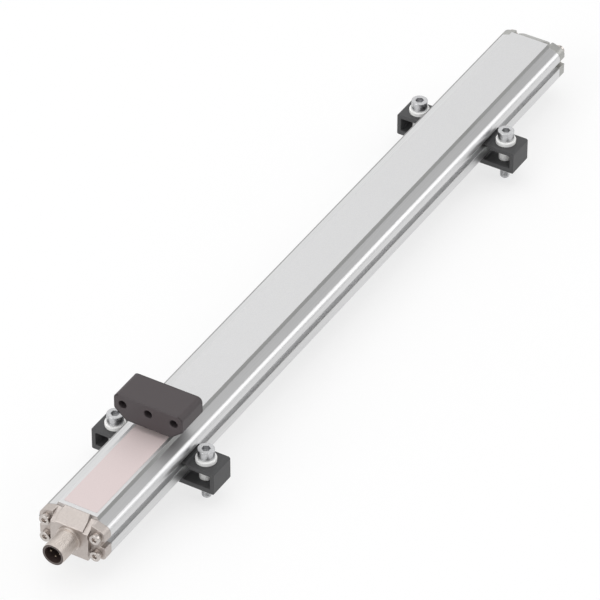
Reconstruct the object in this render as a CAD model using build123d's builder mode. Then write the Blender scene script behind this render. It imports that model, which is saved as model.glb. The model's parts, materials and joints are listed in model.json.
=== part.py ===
from build123d import *
import os

# Linear position sensor that times a torsion pulse in a stretched wire. A flat extruded housing holds
# the wire and its circuit board, a block with magnets floats over it, and four clamps hold it down.
# Millimetres. +X runs along the measuring axis from the connector end, +Y is left and +Z is up.
# The origin is the centre of the four clamp screws, on the mounting plane under the clamps.

# Housing extrusion
housing_length = 442.7
housing_half_width = 18.4
housing_height = 22.1
clamp_lift = 2.7  # the housing's underside lies this far over the mounting plane
band_half_width = 10.9  # raised band along the top
band_rise = 2.0
band_slope_run = 0.8
ledge_fall = 2.2  # the ledge beside the band falls this much towards the side
shoulder_radius = 4.0
groove_rise = 9.2  # lower lip of the side groove over the underside
groove_width = 3.9
groove_depth = 2.8
lip_radius = 0.4
lug_rise = 1.8  # underside of the outer lugs over the underside of the middle rail
lug_radius = 2.2
rail_half_width = 10.4
rail_edge = 0.5
notch_rise = 3.3
notch_half_width = 1.2
wall = 2.2
chamber_half_width = 9.4
channel_half_width = 5.0  # narrow upper part of the chamber, under the band
shoulder_wall = 2.4
slot_depth = 0.8
slot_clearance = 0.1

# Working lengths: reach for finding a corner by its place, and of a cut past what it cuts
near = 0.01
past = 5.0

# End caps
cap_depth = 8.2
ear_setback = 3.0  # the screw ears stand this far behind the cap's nose
tongue_half_width = 7.0
tongue_flat = 0.8
tongue_drop = 4.8
cheek_drop = 3.8  # fall of the nose's top beside the tongue
nose_half_width = 10.6
nose_edge = 0.5
scallop_radius = 3.8
pocket_radius = 8.0
web = 3.4  # wall behind the nose that carries the connector
gasket_margin = 1.3
gasket_thickness = 0.8

# Cap screws, M3 with a hexagon socket
cap_screw_spread = 14.0
cap_screw_rises = (4.5, 14.8)  # axes over the housing's underside
cap_screw_radius = 1.5
cap_screw_length = 16.0
cap_screw_head_radius = 2.75
cap_screw_head_height = 3.0
cap_screw_socket = 2.5
cap_screw_socket_depth = 1.6
cap_screw_clearance = 0.05
thread_clearance = 0.03

# Connector, M12 with four pins
connector_rise = 10.1
barrel_radius = 6.0
barrel_length = 14.1
barrel_chamfer = 0.3
collar_radius = 6.6
collar_thickness = 1.3
collar_notch_width = 1.4
collar_notch_depth = 0.45
collar_notch_angle = -132.0
neck_radius = 5.0
neck_end_gap = 1.2  # from the neck's inner end to the seam
neck_clearance = 0.05
cup_radius = 5.4
cup_depth = 8.6
liner = 0.8
liner_setback = 0.1
insert_floor = 0.6
insert_radius = 4.0
pin_radius = 0.5
pin_circle_radius = 2.5
pin_count = 4
pin_setback = 2.1
pin_tip = 0.2
pin_tail = 1.6  # the pins end this far inside the housing
key_width = 1.0
key_height = 0.7
key_setback = 1.8
nut_across_flats = 13.0
nut_thickness = 2.5
ring_radius = 0.55  # section of the sealing ring under the collar
ring_centre_radius = 5.7
lead_radius = 0.45
lead_pitch = 3.0
lead_steps = (1.5, 0.5, -1.5, -0.5)  # pads from the middle, in pitches, in the order of the pins
lead_run = 3.0  # straight stretch at each end of a lead
lead_pad = 8.0  # a lead ends this far over the board
lead_bend = 1.5

# Circuit board and what stands on it, along X from the front seam
board_rise = 5.5
board_thickness = 1.6
board_start = 5.0
board_length = 115.0
chip_size = (9.0, 8.0, 1.4)
chip_places = (46.0, 60.0, 74.0)
capacitor_radius = 3.0
capacitor_height = 5.4
capacitor_places = (86.0, 93.0)
transformer_size = (9.0, 9.0, 5.0)
transformer_place = 104.0

# Waveguide and what carries it, along X from the front seam
waveguide_radius = 0.35
waveguide_drop = 4.5  # its axis under the housing's top
waveguide_start = 9.0
waveguide_end_gap = 3.0
tube_radius = 1.1
tube_bore_radius = 0.6
carrier_wing = 1.4
carrier_height = 5.1
carrier_gap = 0.15
carrier_slit = 1.4
anchor_start = 8.0
anchor_length = 9.0
grub_radius = 1.0
holder_start = 17.5
holder_length = 17.5
holder_belly = 2.8
coil_start = 21.0
coil_length = 10.0
coil_radius = 1.9
bobbin_radius = 2.0
bobbin_core_radius = 1.1
bobbin_flange = 0.8
bias_magnet_size = (8.0, 3.0, 2.2)
bias_magnet_recess = 0.3
coil_pin_radius = 0.3
coil_pin_spread = 3.2
coil_pin_place = 33.0
plug_length = 10.0
return_wire_radius = 0.3
return_wire_offset = 3.2
return_wire_drop = 1.1  # its axis under the waveguide's
bridge_thickness = 0.8
bridge_half_width = 4.5
bridge_half_height = 1.9
inner_clearance = 0.05

# Position magnet
magnet_length = 18.7
magnet_half_width = 19.3
magnet_height = 14.5
magnet_gap = 3.9  # air between the housing's top and the block
magnet_null = 72.0  # from the front seam to the block's centre at the start of the stroke
magnet_chamfer_width = 6.7
magnet_chamfer_height = 5.6
magnet_top_radius = 2.8
magnet_edge = 0.3
magnet_hole_radius = 2.15
magnet_hole_pitch = 14.35
magnet_hole_rise = 9.1
magnet_pocket_length = 12.0
magnet_pocket_width = 20.0
magnet_pocket_depth = 4.6
bar_size = (11.0, 8.8, 3.2)
bar_gap = 1.4

# Clamps
clamp_length = 15.7
clamp_setback = 73.35  # from the front seam to the middle of the front pair
clamp_pitch = 297.0
clamp_reach = 34.7  # outer face of a clamp from the middle plane
clamp_height = 12.85
clamp_base = 2.9
clamp_roof = 2.4
clamp_wall = 2.3
clamp_top_radius = 1.2
clamp_corner_radius = 0.8
clamp_inner_reach = 13.2
clamp_play = 0.05  # between a clamp and the housing
nose_gap = 0.4  # from the clamp's nose to the bottom of the groove
nose_thickness = 1.6
nose_root = 0.5  # outside the housing's side
nose_slant = 1.8
pad_slant = 1.2
pad_width = 3.0

# Insulating bushes and clamp screws, M5 with a hexagon socket
screw_spread = 25.8
screw_radius = 2.5
screw_shank_radius = 2.25  # plain shank in the bush, at the rolled thread's pitch diameter
screw_length = 25.0
screw_head_radius = 4.25
screw_head_height = 5.0
screw_head_edge = 0.25
screw_socket = 4.0
screw_socket_depth = 2.6
screw_tip = 0.8
bush_flange_radius = 5.3
bush_flange_thickness = 2.25
bush_edge = 0.4
bush_radius = 3.5
bush_foot_gap = 0.4  # from the bush's foot to the mounting plane
bush_clearance = 0.05
screw_clearance = 0.1

# Places that follow from the sizes
front_seam = -(clamp_setback + clamp_pitch / 2)
rear_seam = front_seam + housing_length
underside = clamp_lift
top = underside + housing_height
ledge = top - band_rise
lug_underside = underside + lug_rise
groove_low = underside + groove_rise
groove_high = groove_low + groove_width
chamber_floor = underside + wall
chamber_roof = ledge - shoulder_wall
channel_roof = top - wall
slot_half_width = chamber_half_width + slot_depth
board_bottom = underside + board_rise
board_top = board_bottom + board_thickness
waveguide_height = top - waveguide_drop
return_wire_height = waveguide_height - return_wire_drop
carrier_top = channel_roof - carrier_gap
carrier_bottom = carrier_top - carrier_height
connector_height = underside + connector_rise
nose_front = front_seam - cap_depth
barrel_tip = nose_front - barrel_length
waveguide_end = rear_seam - waveguide_end_gap
plug_start = waveguide_end - plug_length
holder_end = holder_start + holder_length
magnet_bottom = top + magnet_gap
magnet_hole_height = magnet_bottom + magnet_hole_rise
bush_top = clamp_height + bush_flange_thickness

os.makedirs("parts", exist_ok=True)


def save(block, name):
    """Labels a finished piece and writes it."""
    block.part.label = name
    export_step(block.part, f"parts/{name}.step")


def outer_section(x, band):
    """Section of the extrusion across the axis at x, with a raised band of the given half width."""
    half = housing_half_width
    corners = (
        (lug_underside, lug_radius),
        (groove_low, lip_radius),
        (groove_high, lip_radius),
        (ledge - ledge_fall, shoulder_radius),
    )
    with BuildSketch(Plane.YZ.offset(x)) as section:
        with BuildLine():
            Polyline(
                (0, underside),
                (rail_half_width - rail_edge, underside),
                (rail_half_width, underside + rail_edge),
                (rail_half_width + notch_half_width, underside + notch_rise),
                (rail_half_width + 2 * notch_half_width, lug_underside),
                (half, lug_underside),
                (half, groove_low),
                (half - groove_depth, groove_low),
                (half - groove_depth, groove_high),
                (half, groove_high),
                (half, ledge - ledge_fall),
                (band_half_width + band_slope_run, ledge),
                (0, ledge),
                close=True,
            )
        make_face()
        for height, radius in corners:
            side = section.vertices().filter_by_position(Axis.X, half - near, half + near)
            fillet(side.filter_by_position(Axis.Y, height - near, height + near), radius)
        with BuildLine():
            Polyline((0, ledge), (band + band_slope_run, ledge), (band, top), (0, top), close=True)
        make_face()
        mirror(about=Plane.YZ)
    return section.sketch


def chamber_section(x, margin=0.0):
    """Section of the chamber at x: a wide lower part and a narrow channel over it, grown by margin."""
    with BuildSketch(Plane.YZ.offset(x)) as section:
        for half, roof in ((chamber_half_width, chamber_roof), (channel_half_width, channel_roof)):
            with Locations((0, (chamber_floor + roof) / 2)):
                Rectangle(2 * (half + margin), roof - chamber_floor + 2 * margin)
    return section.sketch


def block_section(x, half_width, low, high):
    """A rectangle across the axis at x, centred on the middle plane."""
    with BuildSketch(Plane.YZ.offset(x)) as section:
        with Locations((0, (low + high) / 2)):
            Rectangle(2 * half_width, high - low)
    return section.sketch


def discs(x, points, radius, bore=0.0):
    """Discs, or rings with a bore, across the axis at x, to be extruded along it."""
    with BuildSketch(Plane.YZ.offset(x)) as section:
        with Locations(*points):
            Circle(radius)
            if bore:
                Circle(bore, mode=Mode.SUBTRACT)
    return section.sketch


def cap_screw_points():
    """Places of the four cap screws in a section."""
    sides = (-cap_screw_spread, cap_screw_spread)
    return [(y, underside + rise) for y in sides for rise in cap_screw_rises]


# Housing: the extrusion with its chamber, the board's and the carrier's slots, and four screw channels
with BuildPart() as housing_profile:
    extrude(outer_section(front_seam, band_half_width), amount=housing_length)
    extrude(chamber_section(front_seam), amount=housing_length, mode=Mode.SUBTRACT)
    for low, thickness in ((board_bottom, board_thickness), (carrier_bottom, carrier_wing)):
        slot = block_section(
            front_seam, slot_half_width, low - slot_clearance, low + thickness + slot_clearance
        )
        extrude(slot, amount=housing_length, mode=Mode.SUBTRACT)
    channels = discs(front_seam, cap_screw_points(), cap_screw_radius)
    extrude(channels, amount=housing_length, mode=Mode.SUBTRACT)
save(housing_profile, "housing_profile")


def end_cap(name, seam, outward, connector):
    """A die-cast end cap. Outward is -1 at the connector end and 1 at the far end."""
    nose = seam + outward * cap_depth
    ear = nose - outward * ear_setback
    flat = seam + outward * tongue_flat
    tongue_foot = tongue_half_width + band_slope_run
    slopes = (
        (Plane.XZ.offset(-tongue_foot), 2 * tongue_foot, top, tongue_drop),
        (Plane.XZ.offset(tongue_foot), nose_half_width - tongue_foot, ledge, cheek_drop),
        (Plane.XZ.offset(-tongue_foot), tongue_foot - nose_half_width, ledge, cheek_drop),
    )
    axis = [(0, connector_height)]
    with BuildPart() as cap:
        extrude(outer_section(seam, tongue_half_width), amount=outward * cap_depth)
        # The ears beside the nose stand back, and each screw head lies in a scallop of the nose
        beside = housing_half_width - nose_half_width + past
        for side in (-1, 1):
            with BuildSketch(Plane.YZ.offset(nose)):
                with Locations((side * (nose_half_width + beside / 2), (underside + top) / 2)):
                    Rectangle(beside, housing_height + 2 * past)
            extrude(amount=-outward * ear_setback, mode=Mode.SUBTRACT)
        scallops = discs(nose, cap_screw_points(), scallop_radius)
        extrude(scallops, amount=-outward * ear_setback, mode=Mode.SUBTRACT)
        # The nose's top slopes down, the tongue in the middle and the lower cheeks beside it
        for plane, reach, start, drop in slopes:
            with BuildSketch(plane):
                with BuildLine():
                    Polyline(
                        (flat, start),
                        (nose, start - drop),
                        (nose, top + past),
                        (flat, top + past),
                        close=True,
                    )
                make_face()
            extrude(amount=reach, mode=Mode.SUBTRACT)
        screws = discs(seam, cap_screw_points(), cap_screw_radius + cap_screw_clearance)
        extrude(screws, amount=outward * cap_depth, mode=Mode.SUBTRACT)
        # Seat of the flat seal, and the hollow behind the web
        extrude(chamber_section(seam, gasket_margin), amount=outward * gasket_thickness, mode=Mode.SUBTRACT)
        hollow = discs(seam, axis, pocket_radius)
        extrude(hollow, amount=outward * (cap_depth - web), mode=Mode.SUBTRACT)
        if connector:
            neck = discs(seam, axis, neck_radius + neck_clearance)
            extrude(neck, amount=outward * cap_depth, mode=Mode.SUBTRACT)
            seat = discs(nose, axis, ring_centre_radius + ring_radius + neck_clearance)
            extrude(seat, amount=-outward * 2 * ring_radius, mode=Mode.SUBTRACT)
        nose_face = cap.faces().filter_by(Axis.X).sort_by(Axis.X)[-1 if outward > 0 else 0]
        chamfer(nose_face.outer_wire().edges().filter_by(Axis.Y), nose_edge)
    save(cap, name)


end_cap("front_end_cap", front_seam, -1, connector=True)
end_cap("rear_end_cap", rear_seam, 1, connector=False)


def gasket(name, seam, outward):
    """A flat seal round the chamber's mouth, in its seat in the end cap."""
    with BuildPart() as seal:
        extrude(chamber_section(seam, gasket_margin), amount=outward * gasket_thickness)
        extrude(chamber_section(seam), amount=outward * gasket_thickness, mode=Mode.SUBTRACT)
    save(seal, name)


gasket("front_gasket", front_seam, -1)
gasket("rear_gasket", rear_seam, 1)


def cap_screws(name, seam, outward):
    """The four screws of an end cap, driven into the housing's channels."""
    under_head = seam + outward * (cap_depth - ear_setback)
    top_of_head = under_head + outward * cap_screw_head_height
    with BuildPart() as screws:
        heads = discs(under_head, cap_screw_points(), cap_screw_head_radius)
        extrude(heads, amount=outward * cap_screw_head_height)
        shanks = discs(under_head, cap_screw_points(), cap_screw_radius - thread_clearance)
        extrude(shanks, amount=-outward * cap_screw_length)
        with BuildSketch(Plane.YZ.offset(top_of_head)):
            with Locations(*cap_screw_points()):
                RegularPolygon(cap_screw_socket / 2, 6, major_radius=False)
        extrude(amount=-outward * cap_screw_socket_depth, mode=Mode.SUBTRACT)
    save(screws, name)


cap_screws("front_cap_screws", front_seam, -1)
cap_screws("rear_cap_screws", rear_seam, 1)

# Connector shell: a barrel with an open cup in front, a collar on the cap and a neck through it
with BuildPart() as connector_shell:
    with BuildSketch(Plane.XZ) as half_section:
        with BuildLine():
            Polyline(
                (barrel_tip, connector_height + cup_radius),
                (barrel_tip, connector_height + barrel_radius - barrel_chamfer),
                (barrel_tip + barrel_chamfer, connector_height + barrel_radius),
                (nose_front - collar_thickness, connector_height + barrel_radius),
                (nose_front - collar_thickness, connector_height + collar_radius),
                (nose_front, connector_height + collar_radius),
                (nose_front, connector_height + neck_radius),
                (front_seam - neck_end_gap, connector_height + neck_radius),
                (front_seam - neck_end_gap, connector_height + insert_radius),
                (barrel_tip + cup_depth, connector_height + insert_radius),
                (barrel_tip + cup_depth, connector_height + cup_radius),
                close=True,
            )
        make_face()
    revolve(axis=Axis((0, 0, connector_height), (1, 0, 0)))
    with BuildSketch(Plane.YZ.offset(nose_front)):
        with Locations((0, connector_height)):
            with PolarLocations(collar_radius, 1, start_angle=collar_notch_angle):
                Rectangle(2 * collar_notch_depth, collar_notch_width)
    extrude(amount=-collar_thickness, mode=Mode.SUBTRACT)
save(connector_shell, "connector_shell")


def pin_points():
    """Places of the connector's pins in a section."""
    circle = PolarLocations(pin_circle_radius, pin_count)
    return [(place.position.X, connector_height + place.position.Y) for place in circle]


# Insert: it lines the cup, closes its floor and carries the pins
connector_axis = [(0, connector_height)]
liner_front = barrel_tip + liner_setback
cup_floor = barrel_tip + cup_depth
with BuildPart() as connector_insert:
    extrude(discs(liner_front, connector_axis, cup_radius), amount=cup_floor - liner_front)
    cup = discs(liner_front, connector_axis, cup_radius - liner)
    extrude(cup, amount=cup_floor - liner_front - insert_floor, mode=Mode.SUBTRACT)
    extrude(discs(cup_floor, connector_axis, insert_radius), amount=front_seam - neck_end_gap - cup_floor)
    key_foot = cup_radius - liner / 2
    key_top = cup_radius - liner - key_height
    with BuildSketch(Plane.YZ.offset(liner_front + key_setback)):
        with Locations((0, connector_height + (key_foot + key_top) / 2)):
            Rectangle(key_width, key_foot - key_top)
    extrude(amount=cup_floor - liner_front - key_setback)
    pins = discs(barrel_tip, pin_points(), pin_radius)
    extrude(pins, amount=front_seam - barrel_tip, mode=Mode.SUBTRACT)
save(connector_insert, "connector_insert")

with BuildPart() as connector_pins:
    pin_tips = barrel_tip + pin_setback
    pin_tails = front_seam + pin_tail
    extrude(discs(pin_tips, pin_points(), pin_radius), amount=pin_tails - pin_tips)
    tips = connector_pins.faces().filter_by(Axis.X).group_by(Axis.X)[0].edges()
    chamfer(tips, pin_tip)
save(connector_pins, "connector_pins")

# Lock nut behind the cap's web, and the sealing ring under the collar
with BuildPart() as connector_nut:
    with BuildSketch(Plane.YZ.offset(nose_front + web)):
        with Locations((0, connector_height)):
            RegularPolygon(nut_across_flats / 2, 6, major_radius=False)
            Circle(neck_radius + neck_clearance, mode=Mode.SUBTRACT)
    extrude(amount=nut_thickness)
save(connector_nut, "connector_nut")

with BuildPart() as connector_seal:
    with BuildSketch(Plane.XZ):
        with Locations((nose_front + ring_radius, connector_height + ring_centre_radius)):
            Circle(ring_radius)
    revolve(axis=Axis((0, 0, connector_height), (1, 0, 0)))
save(connector_seal, "connector_seal")

# Leads: one insulated wire from each pin down to its pad on the board
with BuildPart() as connector_leads:
    pad_height = board_top + lead_radius
    lead_end = front_seam + board_start + lead_pad
    for (y, z), step in zip(pin_points(), lead_steps):
        with BuildLine() as route:
            FilletPolyline(
                (pin_tails, y, z),
                (pin_tails + lead_run, y, z),
                (lead_end - lead_run, step * lead_pitch, pad_height),
                (lead_end, step * lead_pitch, pad_height),
                radius=lead_bend,
            )
        with BuildSketch(Plane.YZ.offset(pin_tails)):
            with Locations((y, z)):
                Circle(lead_radius)
        sweep(path=route.line)
save(connector_leads, "connector_leads")


# Circuit board and the parts soldered on it
with BuildPart() as circuit_board:
    board_x = front_seam + board_start
    board = block_section(board_x, slot_half_width - slot_clearance, board_bottom, board_top)
    extrude(board, amount=board_length)
save(circuit_board, "circuit_board")


def on_board(places, sketch_shape, height):
    """Like pieces standing on the board at the given places along it."""
    with BuildPart() as pieces:
        with BuildSketch(Plane.XY.offset(board_top)):
            with Locations(*[(front_seam + place, 0) for place in places]):
                sketch_shape()
        extrude(amount=height)
    return pieces


board_chips = on_board(chip_places, lambda: Rectangle(chip_size[0], chip_size[1]), chip_size[2])
save(board_chips, "board_chips")
board_capacitors = on_board(capacitor_places, lambda: Circle(capacitor_radius), capacitor_height)
save(board_capacitors, "board_capacitors")
pulse_transformer = on_board(
    (transformer_place,), lambda: Rectangle(transformer_size[0], transformer_size[1]), transformer_size[2]
)
save(pulse_transformer, "pulse_transformer")


def carrier_section(x):
    """The waveguide carrier's section: a bar in the channel, and wings that run in the housing's slots."""
    with BuildSketch(Plane.YZ.offset(x)) as section:
        with Locations((0, carrier_bottom + carrier_wing / 2)):
            Rectangle(2 * (slot_half_width - carrier_gap), carrier_wing)
        with Locations((0, carrier_bottom + carrier_height / 2)):
            Rectangle(2 * (channel_half_width - carrier_gap), carrier_height)
    return section.sketch


waveguide_axis = [(0, waveguide_height)]
return_axis = [(return_wire_offset, return_wire_height)]

# Anchor: it holds the wire's front end with a grub screw
with BuildPart() as wire_anchor:
    anchor_x = front_seam + anchor_start
    extrude(carrier_section(anchor_x), amount=anchor_length)
    bore = discs(anchor_x, waveguide_axis, waveguide_radius + inner_clearance)
    extrude(bore, amount=anchor_length, mode=Mode.SUBTRACT)
    with BuildSketch(Plane.XY.offset(carrier_top)):
        with Locations((anchor_x + anchor_length / 2, 0)):
            Circle(grub_radius + inner_clearance)
    extrude(amount=waveguide_height - carrier_top, mode=Mode.SUBTRACT)
save(wire_anchor, "wire_anchor")

with BuildPart() as anchor_screw:
    with BuildSketch(Plane.XY.offset(waveguide_height + waveguide_radius)):
        with Locations((front_seam + anchor_start + anchor_length / 2, 0)):
            Circle(grub_radius)
    extrude(amount=carrier_top - waveguide_height - waveguide_radius)
save(anchor_screw, "anchor_screw")

# Pickup: a holder with the coil's pocket, the coil on its bobbin, and a small magnet under it
coil_x = front_seam + coil_start
coil_middle = coil_x + coil_length / 2
holder_x = front_seam + holder_start
holder_bottom = carrier_bottom - holder_belly
with BuildPart() as pickup_holder:
    extrude(carrier_section(holder_x), amount=holder_length)
    belly = block_section(holder_x, channel_half_width - carrier_gap, holder_bottom, carrier_bottom)
    extrude(belly, amount=holder_length)
    pocket = block_section(
        coil_x, bobbin_radius + inner_clearance, waveguide_height - bobbin_radius, channel_roof
    )
    extrude(pocket, amount=coil_length, mode=Mode.SUBTRACT)
    for axis, radius in ((waveguide_axis, waveguide_radius), (return_axis, return_wire_radius)):
        bore = discs(holder_x, axis, radius + inner_clearance)
        extrude(bore, amount=holder_length, mode=Mode.SUBTRACT)
    with BuildSketch(Plane.XY.offset(holder_bottom)):
        with Locations((coil_middle, 0)):
            Rectangle(bias_magnet_size[0] + 2 * inner_clearance, bias_magnet_size[1] + 2 * inner_clearance)
    extrude(amount=bias_magnet_size[2] + bias_magnet_recess, mode=Mode.SUBTRACT)
save(pickup_holder, "pickup_holder")

with BuildPart() as bias_magnet:
    with BuildSketch(Plane.XY.offset(holder_bottom + bias_magnet_recess)):
        with Locations((coil_middle, 0)):
            Rectangle(bias_magnet_size[0], bias_magnet_size[1])
    extrude(amount=bias_magnet_size[2])
save(bias_magnet, "bias_magnet")

with BuildPart() as coil_bobbin:
    extrude(discs(coil_x, waveguide_axis, bobbin_core_radius), amount=coil_length)
    extrude(discs(coil_x, waveguide_axis, bobbin_radius), amount=bobbin_flange)
    extrude(discs(coil_x + coil_length, waveguide_axis, bobbin_radius), amount=-bobbin_flange)
    bore = discs(coil_x, waveguide_axis, waveguide_radius + inner_clearance)
    extrude(bore, amount=coil_length, mode=Mode.SUBTRACT)
save(coil_bobbin, "coil_bobbin")

with BuildPart() as pickup_coil:
    winding = discs(coil_x + bobbin_flange, waveguide_axis, coil_radius, bobbin_core_radius)
    extrude(winding, amount=coil_length - 2 * bobbin_flange)
save(pickup_coil, "pickup_coil")

with BuildPart() as coil_pins:
    with BuildSketch(Plane.XY.offset(board_top)):
        with Locations(*[(front_seam + coil_pin_place, side * coil_pin_spread) for side in (-1, 1)]):
            Circle(coil_pin_radius)
    extrude(amount=holder_bottom - board_top)
save(coil_pins, "coil_pins")

# Sensing element: the wire in its tube, the carrier round them and the damping plug at the far end
carrier_x = front_seam + holder_end
carrier_length = plug_start - carrier_x
with BuildPart() as waveguide_wire:
    wire_x = front_seam + waveguide_start
    extrude(discs(wire_x, waveguide_axis, waveguide_radius), amount=waveguide_end - wire_x)
save(waveguide_wire, "waveguide_wire")

with BuildPart() as guide_tube:
    extrude(discs(carrier_x, waveguide_axis, tube_radius, tube_bore_radius), amount=carrier_length)
save(guide_tube, "guide_tube")

with BuildPart() as return_wire:
    extrude(discs(holder_x, return_axis, return_wire_radius), amount=waveguide_end - holder_x)
save(return_wire, "return_wire")

with BuildPart() as waveguide_carrier:
    extrude(carrier_section(carrier_x), amount=carrier_length)
    slit = block_section(carrier_x, carrier_slit / 2, waveguide_height, carrier_top)
    extrude(slit, amount=carrier_length, mode=Mode.SUBTRACT)
    for axis, radius in ((waveguide_axis, tube_radius), (return_axis, return_wire_radius)):
        bore = discs(carrier_x, axis, radius + inner_clearance)
        extrude(bore, amount=carrier_length, mode=Mode.SUBTRACT)
save(waveguide_carrier, "waveguide_carrier")

with BuildPart() as damping_plug:
    extrude(carrier_section(plug_start), amount=plug_length)
    for axis, radius in ((waveguide_axis, waveguide_radius), (return_axis, return_wire_radius)):
        bore = discs(plug_start, axis, radius + inner_clearance)
        extrude(bore, amount=plug_length, mode=Mode.SUBTRACT)
save(damping_plug, "damping_plug")

with BuildPart() as end_bridge:
    low, high = waveguide_height - bridge_half_height, waveguide_height + bridge_half_height
    extrude(block_section(waveguide_end, bridge_half_width, low, high), amount=bridge_thickness)
save(end_bridge, "end_bridge")

# Position magnet: a moulded block with three holes along X, and two bar magnets potted in its underside
magnet_x = front_seam + magnet_null
magnet_front = magnet_x - magnet_length / 2
magnet_top = magnet_bottom + magnet_height
bar_low = magnet_bottom + magnet_pocket_depth - bar_size[2]
bar_spread = (bar_size[1] + bar_gap) / 2


def magnet_pocket():
    """Outline of the pocket in the block's underside."""
    with BuildSketch(Plane.XY.offset(magnet_bottom)) as outline:
        with Locations((magnet_x, 0)):
            Rectangle(magnet_pocket_length, magnet_pocket_width)
    return outline.sketch


def bar_outlines():
    """Outlines of the two bar magnets, at their lower faces."""
    with BuildSketch(Plane.XY.offset(bar_low)) as outlines:
        with Locations((magnet_x, -bar_spread), (magnet_x, bar_spread)):
            Rectangle(bar_size[0], bar_size[1])
    return outlines.sketch


with BuildPart() as magnet_housing:
    with BuildSketch(Plane.YZ.offset(magnet_front)) as block:
        with BuildLine():
            Polyline(
                (0, magnet_bottom),
                (magnet_half_width - magnet_chamfer_width, magnet_bottom),
                (magnet_half_width, magnet_bottom + magnet_chamfer_height),
                (magnet_half_width, magnet_top),
                (0, magnet_top),
                close=True,
            )
        make_face()
        side = block.vertices().filter_by_position(
            Axis.X, magnet_half_width - near, magnet_half_width + near
        )
        fillet(side.sort_by(Axis.Y)[-1], magnet_top_radius)
        mirror(about=Plane.YZ)
    extrude(amount=magnet_length)
    ends = magnet_housing.faces().filter_by(Axis.X)
    chamfer(ends.edges(), magnet_edge)
    holes = [(step * magnet_hole_pitch, magnet_hole_height) for step in (-1, 0, 1)]
    extrude(discs(magnet_front, holes, magnet_hole_radius), amount=magnet_length, mode=Mode.SUBTRACT)
    extrude(magnet_pocket(), amount=magnet_pocket_depth, mode=Mode.SUBTRACT)
save(magnet_housing, "magnet_housing")

with BuildPart() as bar_magnets:
    extrude(bar_outlines(), amount=bar_size[2])
save(bar_magnets, "bar_magnets")

with BuildPart() as magnet_potting:
    extrude(magnet_pocket(), amount=magnet_pocket_depth)
    extrude(bar_outlines(), amount=bar_size[2], mode=Mode.SUBTRACT)
save(magnet_potting, "magnet_potting")


def clamp(name, x, side):
    """A clamp beside the housing: its nose in the side groove, its pad under the lug. Side 1 is left."""
    tip = housing_half_width - groove_depth + nose_gap
    root = housing_half_width + nose_root
    nose_low = groove_low + clamp_play
    nose_high = nose_low + nose_thickness
    roof = clamp_height - clamp_roof
    inside = clamp_reach - clamp_wall
    pad_high = lug_underside - clamp_play
    pad_end = clamp_inner_reach + pad_width
    outline = (
        (clamp_inner_reach, 0),
        (clamp_reach, 0),
        (clamp_reach, clamp_height),
        (root + nose_high - clamp_height, clamp_height),
        (root, nose_high),
        (tip, nose_high),
        (tip, nose_low),
        (root, nose_low),
        (root + nose_slant, roof),
        (inside, roof),
        (inside, clamp_base),
        (pad_end + pad_slant, clamp_base),
        (pad_end, pad_high),
        (clamp_inner_reach, pad_high),
    )
    corners = ((0, clamp_corner_radius), (clamp_height, clamp_top_radius))
    with BuildPart() as body:
        with BuildSketch(Plane.YZ.offset(x - clamp_length / 2)) as section:
            with BuildLine():
                Polyline(*[(side * reach, height) for reach, height in outline], close=True)
            make_face()
            for height, radius in corners:
                outer = section.vertices().filter_by_position(
                    Axis.X, side * clamp_reach - near, side * clamp_reach + near
                )
                fillet(outer.filter_by_position(Axis.Y, height - near, height + near), radius)
        extrude(amount=clamp_length)
        with BuildSketch(Plane.XY):
            with Locations((x, side * screw_spread)):
                Circle(bush_radius + bush_clearance)
        extrude(amount=clamp_height, mode=Mode.SUBTRACT)
    save(body, name)


def bush(name, x, side):
    """The insulating bush in a clamp, a sleeve with a flange under the screw's head."""
    with BuildPart() as sleeve:
        with BuildSketch(Plane.XY.offset(bush_foot_gap)):
            with Locations((x, side * screw_spread)):
                Circle(bush_radius)
        extrude(amount=clamp_height - bush_foot_gap)
        with BuildSketch(Plane.XY.offset(clamp_height)):
            with Locations((x, side * screw_spread)):
                Circle(bush_flange_radius)
        extrude(amount=bush_flange_thickness)
        fillet(sleeve.edges().filter_by(GeomType.CIRCLE).sort_by(Axis.Z)[-1], bush_edge)
        with BuildSketch(Plane.XY.offset(bush_foot_gap)):
            with Locations((x, side * screw_spread)):
                Circle(screw_radius + screw_clearance)
        extrude(amount=bush_top - bush_foot_gap, mode=Mode.SUBTRACT)
    save(sleeve, name)


def clamp_screw(name, x, side):
    """A cap screw down through a bush, with its tip under the clamp."""
    with BuildPart() as screw:
        for radius, low, high in (
            (screw_head_radius, bush_top, bush_top + screw_head_height),
            (screw_shank_radius, 0, bush_top),
            (screw_radius, bush_top - screw_length, 0),
        ):
            with BuildSketch(Plane.XY.offset(low)):
                with Locations((x, side * screw_spread)):
                    Circle(radius)
            extrude(amount=high - low)
        rims = screw.edges().filter_by(GeomType.CIRCLE).sort_by(Axis.Z)
        chamfer(rims[0], screw_tip)
        fillet(rims[-1], screw_head_edge)
        with BuildSketch(Plane.XY.offset(bush_top + screw_head_height)):
            with Locations((x, side * screw_spread)):
                RegularPolygon(screw_socket / 2, 6, major_radius=False)
        extrude(amount=-screw_socket_depth, mode=Mode.SUBTRACT)
    save(screw, name)


for end, direction in (("front", -1), ("rear", 1)):
    for hand, side in (("left", 1), ("right", -1)):
        x = direction * clamp_pitch / 2
        clamp(f"clamp_{end}_{hand}", x, side)
        bush(f"bush_{end}_{hand}", x, side)
        clamp_screw(f"clamp_screw_{end}_{hand}", x, side)
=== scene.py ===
import json
import math

import bmesh
import bpy
from mathutils import Matrix, Vector

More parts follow.
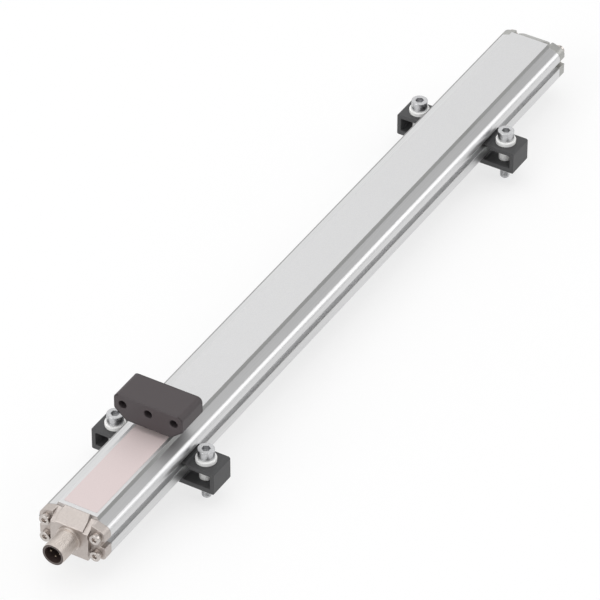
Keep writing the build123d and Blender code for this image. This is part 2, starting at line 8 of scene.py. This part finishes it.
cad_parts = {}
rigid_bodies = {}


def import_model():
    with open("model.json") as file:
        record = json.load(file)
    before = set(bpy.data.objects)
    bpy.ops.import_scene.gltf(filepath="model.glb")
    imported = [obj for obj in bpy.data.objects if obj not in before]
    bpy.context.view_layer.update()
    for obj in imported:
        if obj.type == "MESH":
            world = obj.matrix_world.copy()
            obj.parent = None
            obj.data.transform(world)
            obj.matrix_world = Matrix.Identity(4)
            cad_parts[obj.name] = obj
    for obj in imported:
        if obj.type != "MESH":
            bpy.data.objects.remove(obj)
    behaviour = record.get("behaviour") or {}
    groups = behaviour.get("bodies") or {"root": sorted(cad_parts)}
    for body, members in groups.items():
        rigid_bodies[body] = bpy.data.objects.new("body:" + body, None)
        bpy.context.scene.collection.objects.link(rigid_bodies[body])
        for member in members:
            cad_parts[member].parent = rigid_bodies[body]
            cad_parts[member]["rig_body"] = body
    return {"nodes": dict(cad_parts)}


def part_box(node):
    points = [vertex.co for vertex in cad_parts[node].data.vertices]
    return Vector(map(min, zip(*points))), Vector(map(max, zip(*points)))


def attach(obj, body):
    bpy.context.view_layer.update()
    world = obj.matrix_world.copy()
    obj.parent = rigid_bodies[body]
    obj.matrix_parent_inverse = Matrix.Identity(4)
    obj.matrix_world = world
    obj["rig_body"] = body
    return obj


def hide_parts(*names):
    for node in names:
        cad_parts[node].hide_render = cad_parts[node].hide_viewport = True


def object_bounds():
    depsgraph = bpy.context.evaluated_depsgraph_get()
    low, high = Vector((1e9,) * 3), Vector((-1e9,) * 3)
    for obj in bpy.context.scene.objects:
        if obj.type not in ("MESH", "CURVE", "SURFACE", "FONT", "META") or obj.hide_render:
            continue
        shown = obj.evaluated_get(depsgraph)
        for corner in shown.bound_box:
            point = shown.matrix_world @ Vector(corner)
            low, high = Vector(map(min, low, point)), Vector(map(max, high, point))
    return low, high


bl_info = {
    "name": "Linear position sensor looks",
    "version": (1, 0, 0),
    "blender": (4, 5, 0),
    "location": "View3D > Sidebar > Sensor",
    "description": "Finishes, threads, label film and studio for a flat linear position sensor",
    "category": "Object",
}

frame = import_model()
cad_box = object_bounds()
MM = 0.001
SHARP = math.radians(32)  # edges that turn more than this are broken
FINE = (0.3, 0.3, 0.3)  # grain of a plain fine surface, in mm on each axis
CONNECTOR_RADIUS = 6.0 * MM
SCREW_RADIUS = 2.5 * MM
CORNERS = [f"{end}_{hand}" for end in ("front", "rear") for hand in ("left", "right")]


def linear(code):
    """Turns an sRGB hex value into linear red, green, blue and alpha."""
    shares = [int(code[i:i + 2], 16) / 255 for i in (1, 3, 5)]
    colour = tuple(s / 12.92 if s <= 0.04045 else ((s + 0.055) / 1.055) ** 2.4 for s in shares)
    return colour + (1.0,)


def add_node(tree, kind, values=None, links=None, **settings):
    """Adds a node with its settings, its sockets' values and the sockets that feed it."""
    node = tree.nodes.new(kind)
    for key, value in settings.items():
        setattr(node, key, value)
    for socket, value in (values or {}).items():
        node.inputs[socket].default_value = value
    for socket, source in (links or {}).items():
        tree.links.new(source, node.inputs[socket])
    return node


def finish(name, base, worn, metallic, roughness, grain, depth, spread=0.08):
    """A material whose tone, gloss and relief all follow one noise.

    Base and worn are its two tones, grain is the noise's size in mm on each axis, depth the relief
    in mm and spread how far the gloss wanders.
    """
    # The middle of the noise's range carries all the change of tone and of gloss
    tone_range, gloss_range = (0.25, 0.75), (0.3, 0.7)
    material = bpy.data.materials.new(name)
    material.use_nodes = True
    material.diffuse_color = base
    tree = material.node_tree
    tree.nodes.clear()
    place = add_node(tree, "ShaderNodeTexCoord")
    scale = add_node(
        tree, "ShaderNodeMapping", {"Scale": tuple(1 / (size * MM) for size in grain)},
        {"Vector": place.outputs["Object"]},
    )
    noise = add_node(
        tree, "ShaderNodeTexNoise", {"Scale": 1.0, "Detail": 4.0, "Roughness": 0.6},
        {"Vector": scale.outputs["Vector"]},
    )
    tone = add_node(
        tree, "ShaderNodeMapRange",
        {"From Min": tone_range[0], "From Max": tone_range[1], "To Min": 0.0, "To Max": 1.0},
        {"Value": noise.outputs["Fac"]},
    )
    mix = add_node(
        tree, "ShaderNodeMix", {6: base, 7: worn}, {0: tone.outputs["Result"]}, data_type="RGBA")
    gloss = add_node(
        tree, "ShaderNodeMapRange",
        {
            "From Min": gloss_range[0], "From Max": gloss_range[1],
            "To Min": roughness - spread, "To Max": roughness + spread,
        },
        {"Value": noise.outputs["Fac"]},
    )
    relief = add_node(
        tree, "ShaderNodeBump", {"Strength": 1.0, "Distance": depth * MM},
        {"Height": noise.outputs["Fac"]},
    )
    shader = add_node(
        tree, "ShaderNodeBsdfPrincipled", {"Metallic": metallic},
        {
            "Base Color": mix.outputs[2], "Roughness": gloss.outputs["Result"],
            "Normal": relief.outputs["Normal"],
        },
    )
    add_node(tree, "ShaderNodeOutputMaterial", links={"Surface": shader.outputs["BSDF"]})
    return material


def tint(name, description, code):
    """A colour setting for the panel, from an sRGB hex value."""
    return bpy.props.FloatVectorProperty(
        name=name, description=description, subtype="COLOR", size=4, min=0, max=1,
        default=linear(code))


def measure(name, description, default):
    """A length setting for the panel, in metres."""
    return bpy.props.FloatProperty(
        name=name, description=description, unit="LENGTH", default=default)


class HousingSettings(bpy.types.PropertyGroup):
    aluminium: tint("Aluminium", "Tone of the anodised extrusion", "#e0e0e0")
    die_cast: tint("Die casting", "Tone of the front end cap", "#c5bdb8")
    film: tint("Film", "Tone of the bare label film", "#d8c9c8")
    die_line: measure("Die line", "Spacing of the fine lines that the extrusion die leaves", 0.0004)
    film_start: measure("Film start", "From the front seam to the film", 0.0022)
    film_length: measure("Film length", "Length of the film along the housing", 0.0700)
    film_width: measure("Film width", "Width of the film", 0.0186)
    film_thickness: measure("Film thickness", "Thickness of the film", 0.00012)
    edge: measure("Edge", "Width of the broken edges", 0.00012)
    cap_edge: measure("Cap edge", "Width of the end caps' cast edges", 0.00025)


class ConnectorSettings(bpy.types.PropertyGroup):
    nickel: tint("Nickel", "Tone of the plated shell", "#d4ccc6")
    pitch: measure("Pitch", "Pitch of the connector's thread", 0.001)
    depth: measure("Depth", "Depth of the connector's thread", 0.00016)


class MagnetSettings(bpy.types.PropertyGroup):
    plastic: tint("Plastic", "Tone of the moulded block", "#40393b")
    edge: measure("Edge", "Rounding of the block's edges", 0.0005)


class ClampSettings(bpy.types.PropertyGroup):
    black: tint("Black", "Tone of the anodised clamps", "#3b3b3c")
    white: tint("White", "Tone of the bushes", "#fafaf9")
    edge: measure("Edge", "Width of the clamps' broken edges", 0.0003)
    pitch: measure("Pitch", "Pitch of the clamp screws' thread", 0.0008)
    depth: measure("Depth", "Depth of the clamp screws' thread", 0.0004)


class StageSettings(bpy.types.PropertyGroup):
    floor: tint("Floor", "Tone of the floor", "#f4f4f4")
    focal: bpy.props.FloatProperty(
        name="Focal length", description="The camera's focal length in mm", default=307.32)


def show(nodes, material):
    """Gives CAD nodes their material."""
    for node in nodes:
        mesh = frame["nodes"][node].data
        mesh.materials.clear()
        mesh.materials.append(material)


def link(name, mesh, material):
    """Makes an object of a finished mesh."""
    mesh.name = name
    mesh.materials.clear()
    mesh.materials.append(material)
    piece = bpy.data.objects.new(name, mesh)
    bpy.context.scene.collection.objects.link(piece)
    return piece


def plain_mesh(piece):
    """Turns a piece with its modifiers into a plain mesh and removes the piece."""
    evaluated = piece.evaluated_get(bpy.context.evaluated_depsgraph_get())
    mesh = bpy.data.meshes.new_from_object(evaluated)
    bpy.data.objects.remove(piece)
    return mesh


def softened(node, material, edge, change=None, segments=2):
    """A copy of a CAD node with broken edges, which stands for it.

    Change, where given, moves the copy's vertices before its edges are broken.
    """
    same_point, same_plane = 0.002 * MM, math.radians(0.4)
    shape = bmesh.new()
    shape.from_mesh(frame["nodes"][node].data)
    bmesh.ops.remove_doubles(shape, verts=shape.verts, dist=same_point)
    bmesh.ops.dissolve_limit(
        shape, angle_limit=same_plane, verts=shape.verts, edges=shape.edges,
        use_dissolve_boundaries=False, delimit=set(),
    )
    if change:
        change(shape)
    mesh = bpy.data.meshes.new(node)
    shape.to_mesh(mesh)
    shape.free()
    for face in mesh.polygons:
        face.use_smooth = True
    piece = link(node + "_rough", mesh, material)
    if edge:
        bevel = piece.modifiers.new("edges", "BEVEL")
        bevel.width = edge
        bevel.segments = segments
        bevel.limit_method = "ANGLE"
        bevel.angle_limit = SHARP
        bevel.use_clamp_overlap = False
        # Large faces keep their own direction, so that only the narrow edges look round
        piece.modifiers.new("flat_faces", "WEIGHTED_NORMAL").mode = "FACE_AREA"
    else:
        mesh.set_sharp_from_angle(angle=SHARP)
    piece = link(node + "_finished", plain_mesh(piece), material)
    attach(piece, frame["nodes"][node]["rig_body"])
    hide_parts(node)
    return piece


def recoat(piece, material, chosen):
    """Gives one more finish to a piece, on the faces that chosen picks."""
    piece.data.materials.append(material)
    slot = len(piece.data.materials) - 1
    for face in piece.data.polygons:
        if chosen(face):
            face.material_index = slot


def thread_tree():
    """Geometry nodes for a thread's ridge: a four-sided rod wound upwards round Z."""
    run_out, least = 0.06, 0.02
    tree = bpy.data.node_groups.new("wound_thread", "GeometryNodeTree")
    for name in ("Radius", "Pitch", "Depth", "Length"):
        tree.interface.new_socket(name, in_out="INPUT", socket_type="NodeSocketFloat")
    tree.interface.new_socket("Steps", in_out="INPUT", socket_type="NodeSocketInt")
    tree.interface.new_socket("Finish", in_out="INPUT", socket_type="NodeSocketMaterial")
    tree.interface.new_socket("Thread", in_out="OUTPUT", socket_type="NodeSocketGeometry")
    given = add_node(tree, "NodeGroupInput").outputs
    middle = add_node(
        tree, "ShaderNodeMath", operation="SUBTRACT", links={0: given["Radius"], 1: given["Depth"]})
    turns = add_node(
        tree, "ShaderNodeMath", operation="DIVIDE", links={0: given["Length"], 1: given["Pitch"]})
    spiral = add_node(
        tree, "GeometryNodeCurveSpiral",
        links={
            "Resolution": given["Steps"], "Rotations": turns.outputs[0],
            "Start Radius": middle.outputs[0], "End Radius": middle.outputs[0],
            "Height": given["Length"],
        })
    upright = add_node(
        tree, "GeometryNodeSetCurveNormal", mode="Z_UP", links={"Curve": spiral.outputs["Curve"]})
    rod = add_node(
        tree, "GeometryNodeCurvePrimitiveCircle", {"Resolution": 4}, {"Radius": given["Depth"]},
        mode="RADIUS")
    # The ridge runs out to nothing over the first and last part of the thread
    along = add_node(tree, "GeometryNodeSplineParameter")
    ends = [
        add_node(
            tree, "ShaderNodeMapRange",
            {"From Min": start, "From Max": start + step, "To Min": least, "To Max": 1.0},
            {"Value": along.outputs["Factor"]})
        for start, step in ((0.0, run_out), (1.0, -run_out))
    ]
    taper = add_node(
        tree, "ShaderNodeMath", operation="MINIMUM",
        links={0: ends[0].outputs["Result"], 1: ends[1].outputs["Result"]})
    ridge = add_node(
        tree, "GeometryNodeCurveToMesh", {"Fill Caps": True},
        {
            "Curve": upright.outputs["Curve"], "Profile Curve": rod.outputs["Curve"],
            "Scale": taper.outputs[0],
        })
    solid = add_node(
        tree, "GeometryNodeRealizeInstances", links={"Geometry": ridge.outputs["Mesh"]})
    dressed = add_node(
        tree, "GeometryNodeSetMaterial",
        links={"Geometry": solid.outputs["Geometry"], "Material": given["Finish"]})
    add_node(tree, "NodeGroupOutput", links={"Thread": dressed.outputs["Geometry"]})
    return tree


def thread(name, radius, pitch, depth, length, place, material, body):
    """A thread's ridge, its axis along Z and its start at the origin until place moves it."""
    steps_per_turn = 36
    tree = bpy.data.node_groups.get("wound_thread") or thread_tree()
    holder = link(name + "_wound", bpy.data.meshes.new(name), material)
    nodes = holder.modifiers.new("thread", "NODES")
    nodes.node_group = tree
    values = {
        "Radius": radius, "Pitch": pitch, "Depth": depth, "Length": length,
        "Steps": steps_per_turn, "Finish": material,
    }
    for item in tree.interface.items_tree:
        if item.in_out == "INPUT":
            nodes[item.identifier] = values[item.name]
    mesh = plain_mesh(holder)
    mesh.transform(place)
    piece = link(name, mesh, material)
    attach(piece, body)
    return piece


class SENSOR_OT_housing(bpy.types.Operator):
    """The extruded housing, with its die lines and painted shade on some of its faces"""
    bl_idname = "sensor.housing"
    bl_label = "Housing"

    def execute(self, context):
        given = context.scene.sensor_housing
        # Extruded and clear anodised: pale and matt, with fine lines along the length
        material = finish(
            "extruded_clear_anodised_aluminium", tuple(given.aluminium), linear("#cfcfd0"), 1.0,
            0.36, (90.0, given.die_line / MM, given.die_line / MM), 0.0006, 0.04)
        piece = softened("housing_profile", material, given.edge)
        # The band's top is ground and matt, so it mirrors nothing sharply
        matt = finish(
            "ground_clear_anodised_aluminium", tuple(given.aluminium), linear("#d4d4d5"), 1.0, 0.5,
            FINE, 0.003, 0.05)
        # The band's flanks, the left shoulder and the lower lips of the side grooves are a little
        # rougher and get a dark painted shade, which stands for the dark reflections they would
        # show; the right ledge gets a lighter painted shade
        flank, ledge = (
            finish(name, linear(base), linear(worn), 1.0, 0.45, (60.0, 0.3, 0.3), 0.0008, 0.05)
            for name, base, worn in (
                ("anodised_flank_painted_shade", "#a9a9a8", "#9e9e9d"),
                ("anodised_ledge_painted_shade", "#c4c4c4", "#b9b9ba"),
            ))
        low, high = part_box("housing_profile")
        band_height, band_half_width = 2.2 * MM, 12.1 * MM
        lip_top, lip_height = low.z + 9.2 * MM, 1.5 * MM

        def is_top(face):
            return high.z - face.center.z < 0.02 * MM

        # Faces that get the dark painted shade
        def is_painted_dark(face):
            depth, height, across = high.z - face.center.z, face.center.z, face.normal.y
            in_band = depth < band_height and abs(face.center.y) < band_half_width
            on_flank = in_band and abs(across) > 0.34
            on_shoulder = 3.2 * MM < depth < 9.0 * MM and 0.42 < across < 0.88
            leaning_up = 0.2 < abs(across) < 0.97 and face.normal.z > 0.2
            on_lip = lip_top - lip_height < height < lip_top and leaning_up
            return not is_top(face) and (on_flank or on_shoulder or on_lip)

        # Faces of the right ledge that get the lighter painted shade
        def is_ledge(face):
            depth, across = high.z - face.center.z, face.normal.y
            return not is_painted_dark(face) and 1.9 * MM < depth < 6.0 * MM and -0.4 < across < -0.25

        for coat, chosen in ((matt, is_top), (flank, is_painted_dark), (ledge, is_ledge)):
            recoat(piece, coat, chosen)
        return {"FINISHED"}


class SENSOR_OT_film(bpy.types.Operator):
    """The bare label film on the band, from the connector's end to under the magnet"""
    bl_idname = "sensor.film"
    bl_label = "Label film"

    def execute(self, context):
        given = context.scene.sensor_housing
        # Satin polyester film, a little darker than the metal round it and without print
        material = finish(
            "satin_polyester_film", tuple(given.film), linear("#d1c3c2"), 0.0, 0.42,
            (0.5, 0.5, 0.5), 0.002)
        low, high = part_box("housing_profile")
        start = low.x + given.film_start
        radius, steps = 0.8 * MM, 6
        near, far = start + radius, start + given.film_length - radius
        side = given.film_width / 2 - radius
        outline = []
        for x, y, turn in ((far, side, 0), (near, side, 90), (near, -side, 180), (far, -side, 270)):
            for step in range(steps + 1):
                angle = math.radians(turn + step * 90 / steps)
                outline.append((x + radius * math.cos(angle), y + radius * math.sin(angle)))
        shape = bmesh.new()
        face = shape.faces.new([shape.verts.new((x, y, high.z)) for x, y in outline])
        raised = bmesh.ops.extrude_face_region(shape, geom=[face])["geom"]
        lifted = [part for part in raised if isinstance(part, bmesh.types.BMVert)]
        bmesh.ops.translate(shape, verts=lifted, vec=(0, 0, given.film_thickness))
        bmesh.ops.recalc_face_normals(shape, faces=shape.faces)
        mesh = bpy.data.meshes.new("label_film")
        shape.to_mesh(mesh)
        shape.free()
        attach(link("label_film", mesh, material), "sensor")
        return {"FINISHED"}


class SENSOR_OT_end_caps(bpy.types.Operator):
    """The two die-cast end caps, with their cast edges"""
    bl_idname = "sensor.end_caps"
    bl_label = "End caps"

    def execute(self, context):
        given = context.scene.sensor_housing
        # Die-cast zinc, plated, with the faint peel of a casting; the rear one is duller
        front, rear = tuple(given.die_cast), linear("#b8b8b5")
        for node, name, base, worn in (
            ("front_end_cap", "satin_plated_die_cast_zinc", front, linear("#bdb5b0")),
            ("rear_end_cap", "dull_plated_die_cast_zinc", rear, linear("#adadaa")),
        ):
            material = finish(name, base, worn, 1.0, 0.45, (0.9, 0.9, 0.9), 0.004)
            softened(node, material, given.cap_edge)
        return {"FINISHED"}


class SENSOR_OT_cap_screws(bpy.types.Operator):
    """The small screws of both end caps"""
    bl_idname = "sensor.cap_screws"
    bl_label = "Cap screws"

    def execute(self, context):
        # Nickel-plated steel: bright, with a slight haze
        material = finish(
            "nickel_plated_steel", linear("#d2ccc8"), linear("#b9b2ad"), 1.0, 0.24,
            (0.4, 0.4, 0.4), 0.002)
        head_edge = 0.22 * MM
        for node in ("front_cap_screws", "rear_cap_screws"):
            softened(node, material, head_edge)
        return {"FINISHED"}


class SENSOR_OT_connector(bpy.types.Operator):
    """The round connector: shell, thread, insert and pins"""
    bl_idname = "sensor.connector"
    bl_label = "Connector"

    def execute(self, context):
        given = context.scene.sensor_connector
        # Turned and nickel-plated brass: warm and bright, with the tool's fine rings round it
        nickel = finish(
            "turned_nickel_plated_brass", tuple(given.nickel), linear("#c9c0b9"), 1.0, 0.42,
            (0.22, 40.0, 40.0), 0.003, 0.05)
        low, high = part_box("connector_shell")
        axis = Vector((0, (low.y + high.y) / 2, (low.z + high.z) / 2))
        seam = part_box("front_end_cap")[0].x
        start, end = low.x + 1.0 * MM, seam - 1.6 * MM
        barrel_end, tolerance = seam - 0.8 * MM, 0.05 * MM

        def waist(shape):
            # The barrel is taken in by the thread's depth, and the collar is left
            for vertex in shape.verts:
                out = (vertex.co - axis) * Vector((0, 1, 1))
                on_barrel = abs(out.length - CONNECTOR_RADIUS) < tolerance
                if on_barrel and vertex.co.x < barrel_end:
                    out.length = CONNECTOR_RADIUS - given.depth
                    vertex.co = Vector((vertex.co.x, axis.y + out.y, axis.z + out.z))

        shell = softened("connector_shell", nickel, 0.12 * MM, waist)
        # The shell's mouth gets a dark painted shade
        painted_shade_nickel = finish(
            "nickel_plated_brass_painted_shade", linear("#716967"), linear("#645c5a"), 1.0, 0.45,
            FINE, 0.004)
        mouth = low.x + 0.15 * MM
        recoat(shell, painted_shade_nickel, lambda face: face.center.x < mouth)
        place = Matrix.Translation((start, axis.y, axis.z)) @ Matrix.Rotation(math.pi / 2, 4, "Y")
        thread(
            "connector_thread", CONNECTOR_RADIUS, given.pitch, given.depth, end - start, place,
            nickel, "sensor")
        # Moulded polyamide, near black and matt
        black = finish(
            "moulded_black_polyamide", linear("#4b3d3a"), linear("#3e322f"), 0.0, 0.5, FINE, 0.006)
        insert = softened("connector_insert", black, 0.08 * MM)
        # The insert's rim is painted lighter, a painted highlight
        painted_highlight_polyamide = finish(
            "black_polyamide_painted_highlight", linear("#5f5552"), linear("#504744"), 0.0, 0.4, FINE, 0.004)
        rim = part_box("connector_insert")[0].x + 0.1 * MM
        recoat(insert, painted_highlight_polyamide, lambda face: face.center.x < rim)
        # Thin gold over brass, softly bright
        gold = finish(
            "gold_plated_brass", linear("#a39485"), linear("#8e8070"), 1.0, 0.45,
            (0.2, 0.2, 0.2), 0.001)
        softened("connector_pins", gold, 0)
        return {"FINISHED"}


class SENSOR_OT_magnet(bpy.types.Operator):
    """The floating magnet block and what is in it"""
    bl_idname = "sensor.magnet"
    bl_label = "Position magnet"

    def execute(self, context):
        given = context.scene.sensor_magnet
        # Moulded glass-filled polyamide: dark grey and matt, with a fine even grain
        material = finish(
            "moulded_glass_filled_polyamide", tuple(given.plastic), linear("#474042"), 0.0, 0.52,
            (0.35, 0.35, 0.35), 0.02)
        softened("magnet_housing", material, given.edge, segments=3)
        # Cast epoxy resin, black and glossy
        resin = finish(
            "cast_epoxy_resin", linear("#1c1c1f"), linear("#242427"), 0.0, 0.2,
            (3.0, 3.0, 3.0), 0.01)
        show(["magnet_potting"], resin)
        return {"FINISHED"}


class SENSOR_OT_clamps(bpy.types.Operator):
    """The four clamps and their white bushes"""
    bl_idname = "sensor.clamps"
    bl_label = "Clamps"

    def execute(self, context):
        given = context.scene.sensor_clamps
        # Extruded and black anodised: matt, with faint lines along X
        black = finish(
            "black_anodised_extruded_aluminium", tuple(given.black), linear("#464647"), 0.0, 0.5,
            (6.0, 0.25, 0.25), 0.012)
        # Moulded acetal, white and a little waxy
        white = finish(
            "moulded_white_acetal", tuple(given.white), linear("#f4f4f2"), 0.0, 0.38,
            (0.6, 0.6, 0.6), 0.003)
        bush_edge = 0.1 * MM
        for corner in CORNERS:
            softened(f"clamp_{corner}", black, given.edge)
            softened(f"bush_{corner}", white, bush_edge)
        return {"FINISHED"}


class SENSOR_OT_clamp_screws(bpy.types.Operator):
    """The clamp screws with their cut threads"""
    bl_idname = "sensor.clamp_screws"
    bl_label = "Clamp screws"

    def execute(self, context):
        given = context.scene.sensor_clamps
        # Bright zinc over steel: light, faintly blue and slightly uneven
        steel = finish(
            "bright_zinc_plated_steel", linear("#d2d2d3"), linear("#bcbdbf"), 1.0, 0.3,
            (0.5, 0.5, 0.5), 0.003)
        edge, bare_tip, threaded = 0.08 * MM, 0.5 * MM, 12.0 * MM
        share = (SCREW_RADIUS - given.depth) / SCREW_RADIUS
        for corner in CORNERS:
            node = f"clamp_screw_{corner}"
            low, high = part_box(node)
            axis = (low + high) / 2
            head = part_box(f"bush_{corner}")[1].z

            def waist(shape):
                # Everything under the head is taken in by the thread's depth
                for vertex in shape.verts:
                    if vertex.co.z < head - 0.1 * MM:
                        out = (vertex.co - axis) * Vector((1, 1, 0)) * share
                        vertex.co = Vector((axis.x + out.x, axis.y + out.y, vertex.co.z))

            softened(node, steel, edge, waist)
            thread(
                f"clamp_thread_{corner}", SCREW_RADIUS, given.pitch, given.depth, threaded,
                Matrix.Translation((axis.x, axis.y, low.z + bare_tip)), steel, f"clamp_{corner}")
        return {"FINISHED"}


class SENSOR_OT_inside(bpy.types.Operator):
    """Finishes of the pieces inside the housing and the magnet"""
    bl_idname = "sensor.inside"
    bl_label = "Inside"

    def execute(self, context):
        drawn = (20.0, 0.1, 0.1)
        # Nitrile rubber is matt and black, polyamide pale, and ferrite and moulding compound grey
        groups = (
            ("moulded_nitrile_rubber", "#1d1d1e", "#262627", 0.0, 0.7, FINE, 0.01,
             ["front_gasket", "rear_gasket", "connector_seal", "damping_plug"]),
            ("nickel_plated_brass_nut", "#c3b8b0", "#b3a79e", 1.0, 0.3, FINE, 0.003,
             ["connector_nut"]),
            ("extruded_vinyl_insulation", "#6b4226", "#5c371f", 0.0, 0.45, FINE, 0.004,
             ["connector_leads"]),
            ("green_solder_mask_on_laminate", "#1c5c38", "#17502f", 0.0, 0.35, FINE, 0.006,
             ["circuit_board"]),
            ("moulded_epoxy_compound", "#2a2a2c", "#323234", 0.0, 0.55, FINE, 0.008,
             ["board_chips", "pulse_transformer"]),
            ("drawn_aluminium_can", "#c9cacc", "#b8b9bb", 1.0, 0.3, FINE, 0.003,
             ["board_capacitors"]),
            ("extruded_natural_polyamide", "#d9d3c2", "#cfc8b5", 0.0, 0.5, (8.0, 0.5, 0.5), 0.008,
             ["wire_anchor", "pickup_holder", "coil_bobbin", "waveguide_carrier"]),
            ("sintered_ferrite", "#3c3c3f", "#2f2f32", 0.0, 0.6, FINE, 0.015,
             ["bias_magnet", "bar_magnets"]),
            ("enamelled_copper_wire", "#b5673a", "#9c542d", 1.0, 0.3, (0.1, 8.0, 8.0), 0.02,
             ["pickup_coil", "return_wire"]),
            ("tinned_copper_pin", "#cfcdc8", "#b9b7b2", 1.0, 0.3, FINE, 0.002,
             ["coil_pins", "end_bridge"]),
            ("drawn_nickel_iron_wire", "#b9b7b2", "#a5a39e", 1.0, 0.28, drawn, 0.002,
             ["waveguide_wire"]),
            ("extruded_fluoropolymer", "#e8e8e4", "#dededa", 0.0, 0.3, drawn, 0.002,
             ["guide_tube"]),
            ("zinc_plated_grub_screw", "#c4c5c7", "#aeb0b2", 1.0, 0.3, FINE, 0.003,
             ["anchor_screw"]),
        )
        for name, base, worn, metallic, roughness, grain, depth, nodes in groups:
            material = finish(name, linear(base), linear(worn), metallic, roughness, grain, depth)
            show(nodes, material)
        return {"FINISHED"}


class SENSOR_OT_stage(bpy.types.Operator):
    """Floor, lamps and camera"""
    bl_idname = "sensor.stage"
    bl_label = "Studio"

    def execute(self, context):
        given = context.scene.sensor_stage
        scene = context.scene
        scene.view_settings.view_transform = "Standard"
        # The floor is pale paper just under the screws' tips. For the camera and in reflections it
        # glows, so that it looks nearly white there without lighting the sensor from below
        floor_height = cad_box[0][2] - 0.2 * MM
        reach, glow_share = 14.0, 0.7
        paper = bpy.data.materials.new("pale_paper")
        paper.use_nodes = True
        tree = paper.node_tree
        tree.nodes.clear()
        diffuse = add_node(tree, "ShaderNodeBsdfDiffuse", {"Color": tuple(given.floor)})
        glow = add_node(tree, "ShaderNodeEmission", {"Color": (1, 1, 1, 1), "Strength": 1.0})
        path = add_node(tree, "ShaderNodeLightPath")
        seen = add_node(
            tree, "ShaderNodeMath", operation="MAXIMUM",
            links={0: path.outputs["Is Camera Ray"], 1: path.outputs["Is Glossy Ray"]})
        seen = add_node(
            tree, "ShaderNodeMath", operation="MAXIMUM",
            links={0: seen.outputs[0], 1: path.outputs["Is Transmission Ray"]})
        share = add_node(
            tree, "ShaderNodeMath", {1: glow_share}, {0: seen.outputs[0]}, operation="MULTIPLY")
        mixed = add_node(
            tree, "ShaderNodeMixShader",
            links={0: share.outputs[0], 1: diffuse.outputs["BSDF"], 2: glow.outputs["Emission"]})
        add_node(tree, "ShaderNodeOutputMaterial", links={"Surface": mixed.outputs["Shader"]})
        mesh = bpy.data.meshes.new("floor")
        corners = [(-reach, -reach), (reach, -reach), (reach, reach), (-reach, reach)]
        mesh.from_pydata([(x, y, floor_height) for x, y in corners], [], [(0, 1, 2, 3)])
        link("floor", mesh, paper)

        room_light = 0.55
        world = bpy.data.worlds.new("studio")
        world.use_nodes = True
        scene.world = world
        tree = world.node_tree
        tree.nodes.clear()
        room = add_node(
            tree, "ShaderNodeBackground", {"Color": (1, 1, 1, 1), "Strength": room_light})
        add_node(tree, "ShaderNodeOutputWorld", links={"Surface": room.outputs["Background"]})

        # Each lamp's name, place, width in metres and power in watts
        lamps = (
            ("far_softbox", (7.8, 7.5, 5.4), 10.2, 170.0),
            ("overhead_softbox", (-0.3, 0.9, 8.1), 9.6, 320.0),
            ("right_softbox", (6.1, -5.2, 4.2), 5.4, 128.0),
            ("front_fill", (-6.0, 1.8, 3.0), 4.8, 150.0),
        )
        for name, place, size, power in lamps:
            lamp = bpy.data.lights.new(name, "AREA")
            lamp.shape = "SQUARE"
            lamp.size = size
            lamp.energy = power
            holder = bpy.data.objects.new(name, lamp)
            scene.collection.objects.link(holder)
            holder.location = place
            holder.rotation_euler = (-Vector(place)).to_track_quat("-Z", "Y").to_euler()

        # The camera's place and direction were fitted to the photo
        camera = bpy.data.cameras.new("camera")
        camera.lens = given.focal
        camera.sensor_width = 36.0
        camera.clip_end = 40.0
        holder = bpy.data.objects.new("camera", camera)
        scene.collection.objects.link(holder)
        azimuth, elevation = math.radians(30.736), math.radians(38.528)
        level = math.cos(elevation)
        away = Vector((math.cos(azimuth) * level, math.sin(azimuth) * level, -math.sin(elevation)))
        holder.location = (-1.73735, -1.0229, 1.6041)
        holder.rotation_euler = away.to_track_quat("-Z", "Y").to_euler()
        scene.camera = holder
        return {"FINISHED"}


class SENSOR_PT_panel(bpy.types.Panel):
    """Lists the sensor's pieces and their settings"""
    bl_idname = "SENSOR_PT_panel"
    bl_label = "Position sensor"
    bl_space_type = "VIEW_3D"
    bl_region_type = "UI"
    bl_category = "Sensor"

    def draw(self, context):
        for kind in OPERATORS:
            self.layout.operator(kind.bl_idname)
        for name, kind in SETTINGS.items():
            box = self.layout.box()
            for field in kind.__annotations__:
                box.prop(getattr(context.scene, name), field)


SETTINGS = {
    "sensor_housing": HousingSettings,
    "sensor_connector": ConnectorSettings,
    "sensor_magnet": MagnetSettings,
    "sensor_clamps": ClampSettings,
    "sensor_stage": StageSettings,
}
OPERATORS = (
    SENSOR_OT_stage, SENSOR_OT_housing, SENSOR_OT_film, SENSOR_OT_end_caps,
    SENSOR_OT_cap_screws, SENSOR_OT_connector, SENSOR_OT_magnet, SENSOR_OT_clamps,
    SENSOR_OT_clamp_screws, SENSOR_OT_inside,
)


def register():
    for name, kind in SETTINGS.items():
        bpy.utils.register_class(kind)
        setattr(bpy.types.Scene, name, bpy.props.PointerProperty(type=kind))
    for kind in (*OPERATORS, SENSOR_PT_panel):
        bpy.utils.register_class(kind)


def unregister():
    for kind in reversed((*OPERATORS, SENSOR_PT_panel)):
        bpy.utils.unregister_class(kind)
    for name, kind in SETTINGS.items():
        delattr(bpy.types.Scene, name)
        bpy.utils.unregister_class(kind)


def main():
    register()
    bpy.ops.sensor.stage()
    bpy.ops.sensor.housing()
    bpy.ops.sensor.film()
    bpy.ops.sensor.end_caps()
    bpy.ops.sensor.cap_screws()
    bpy.ops.sensor.connector()
    bpy.ops.sensor.magnet()
    bpy.ops.sensor.clamps()
    bpy.ops.sensor.clamp_screws()
    bpy.ops.sensor.inside()


if __name__ == "__main__":
    main()
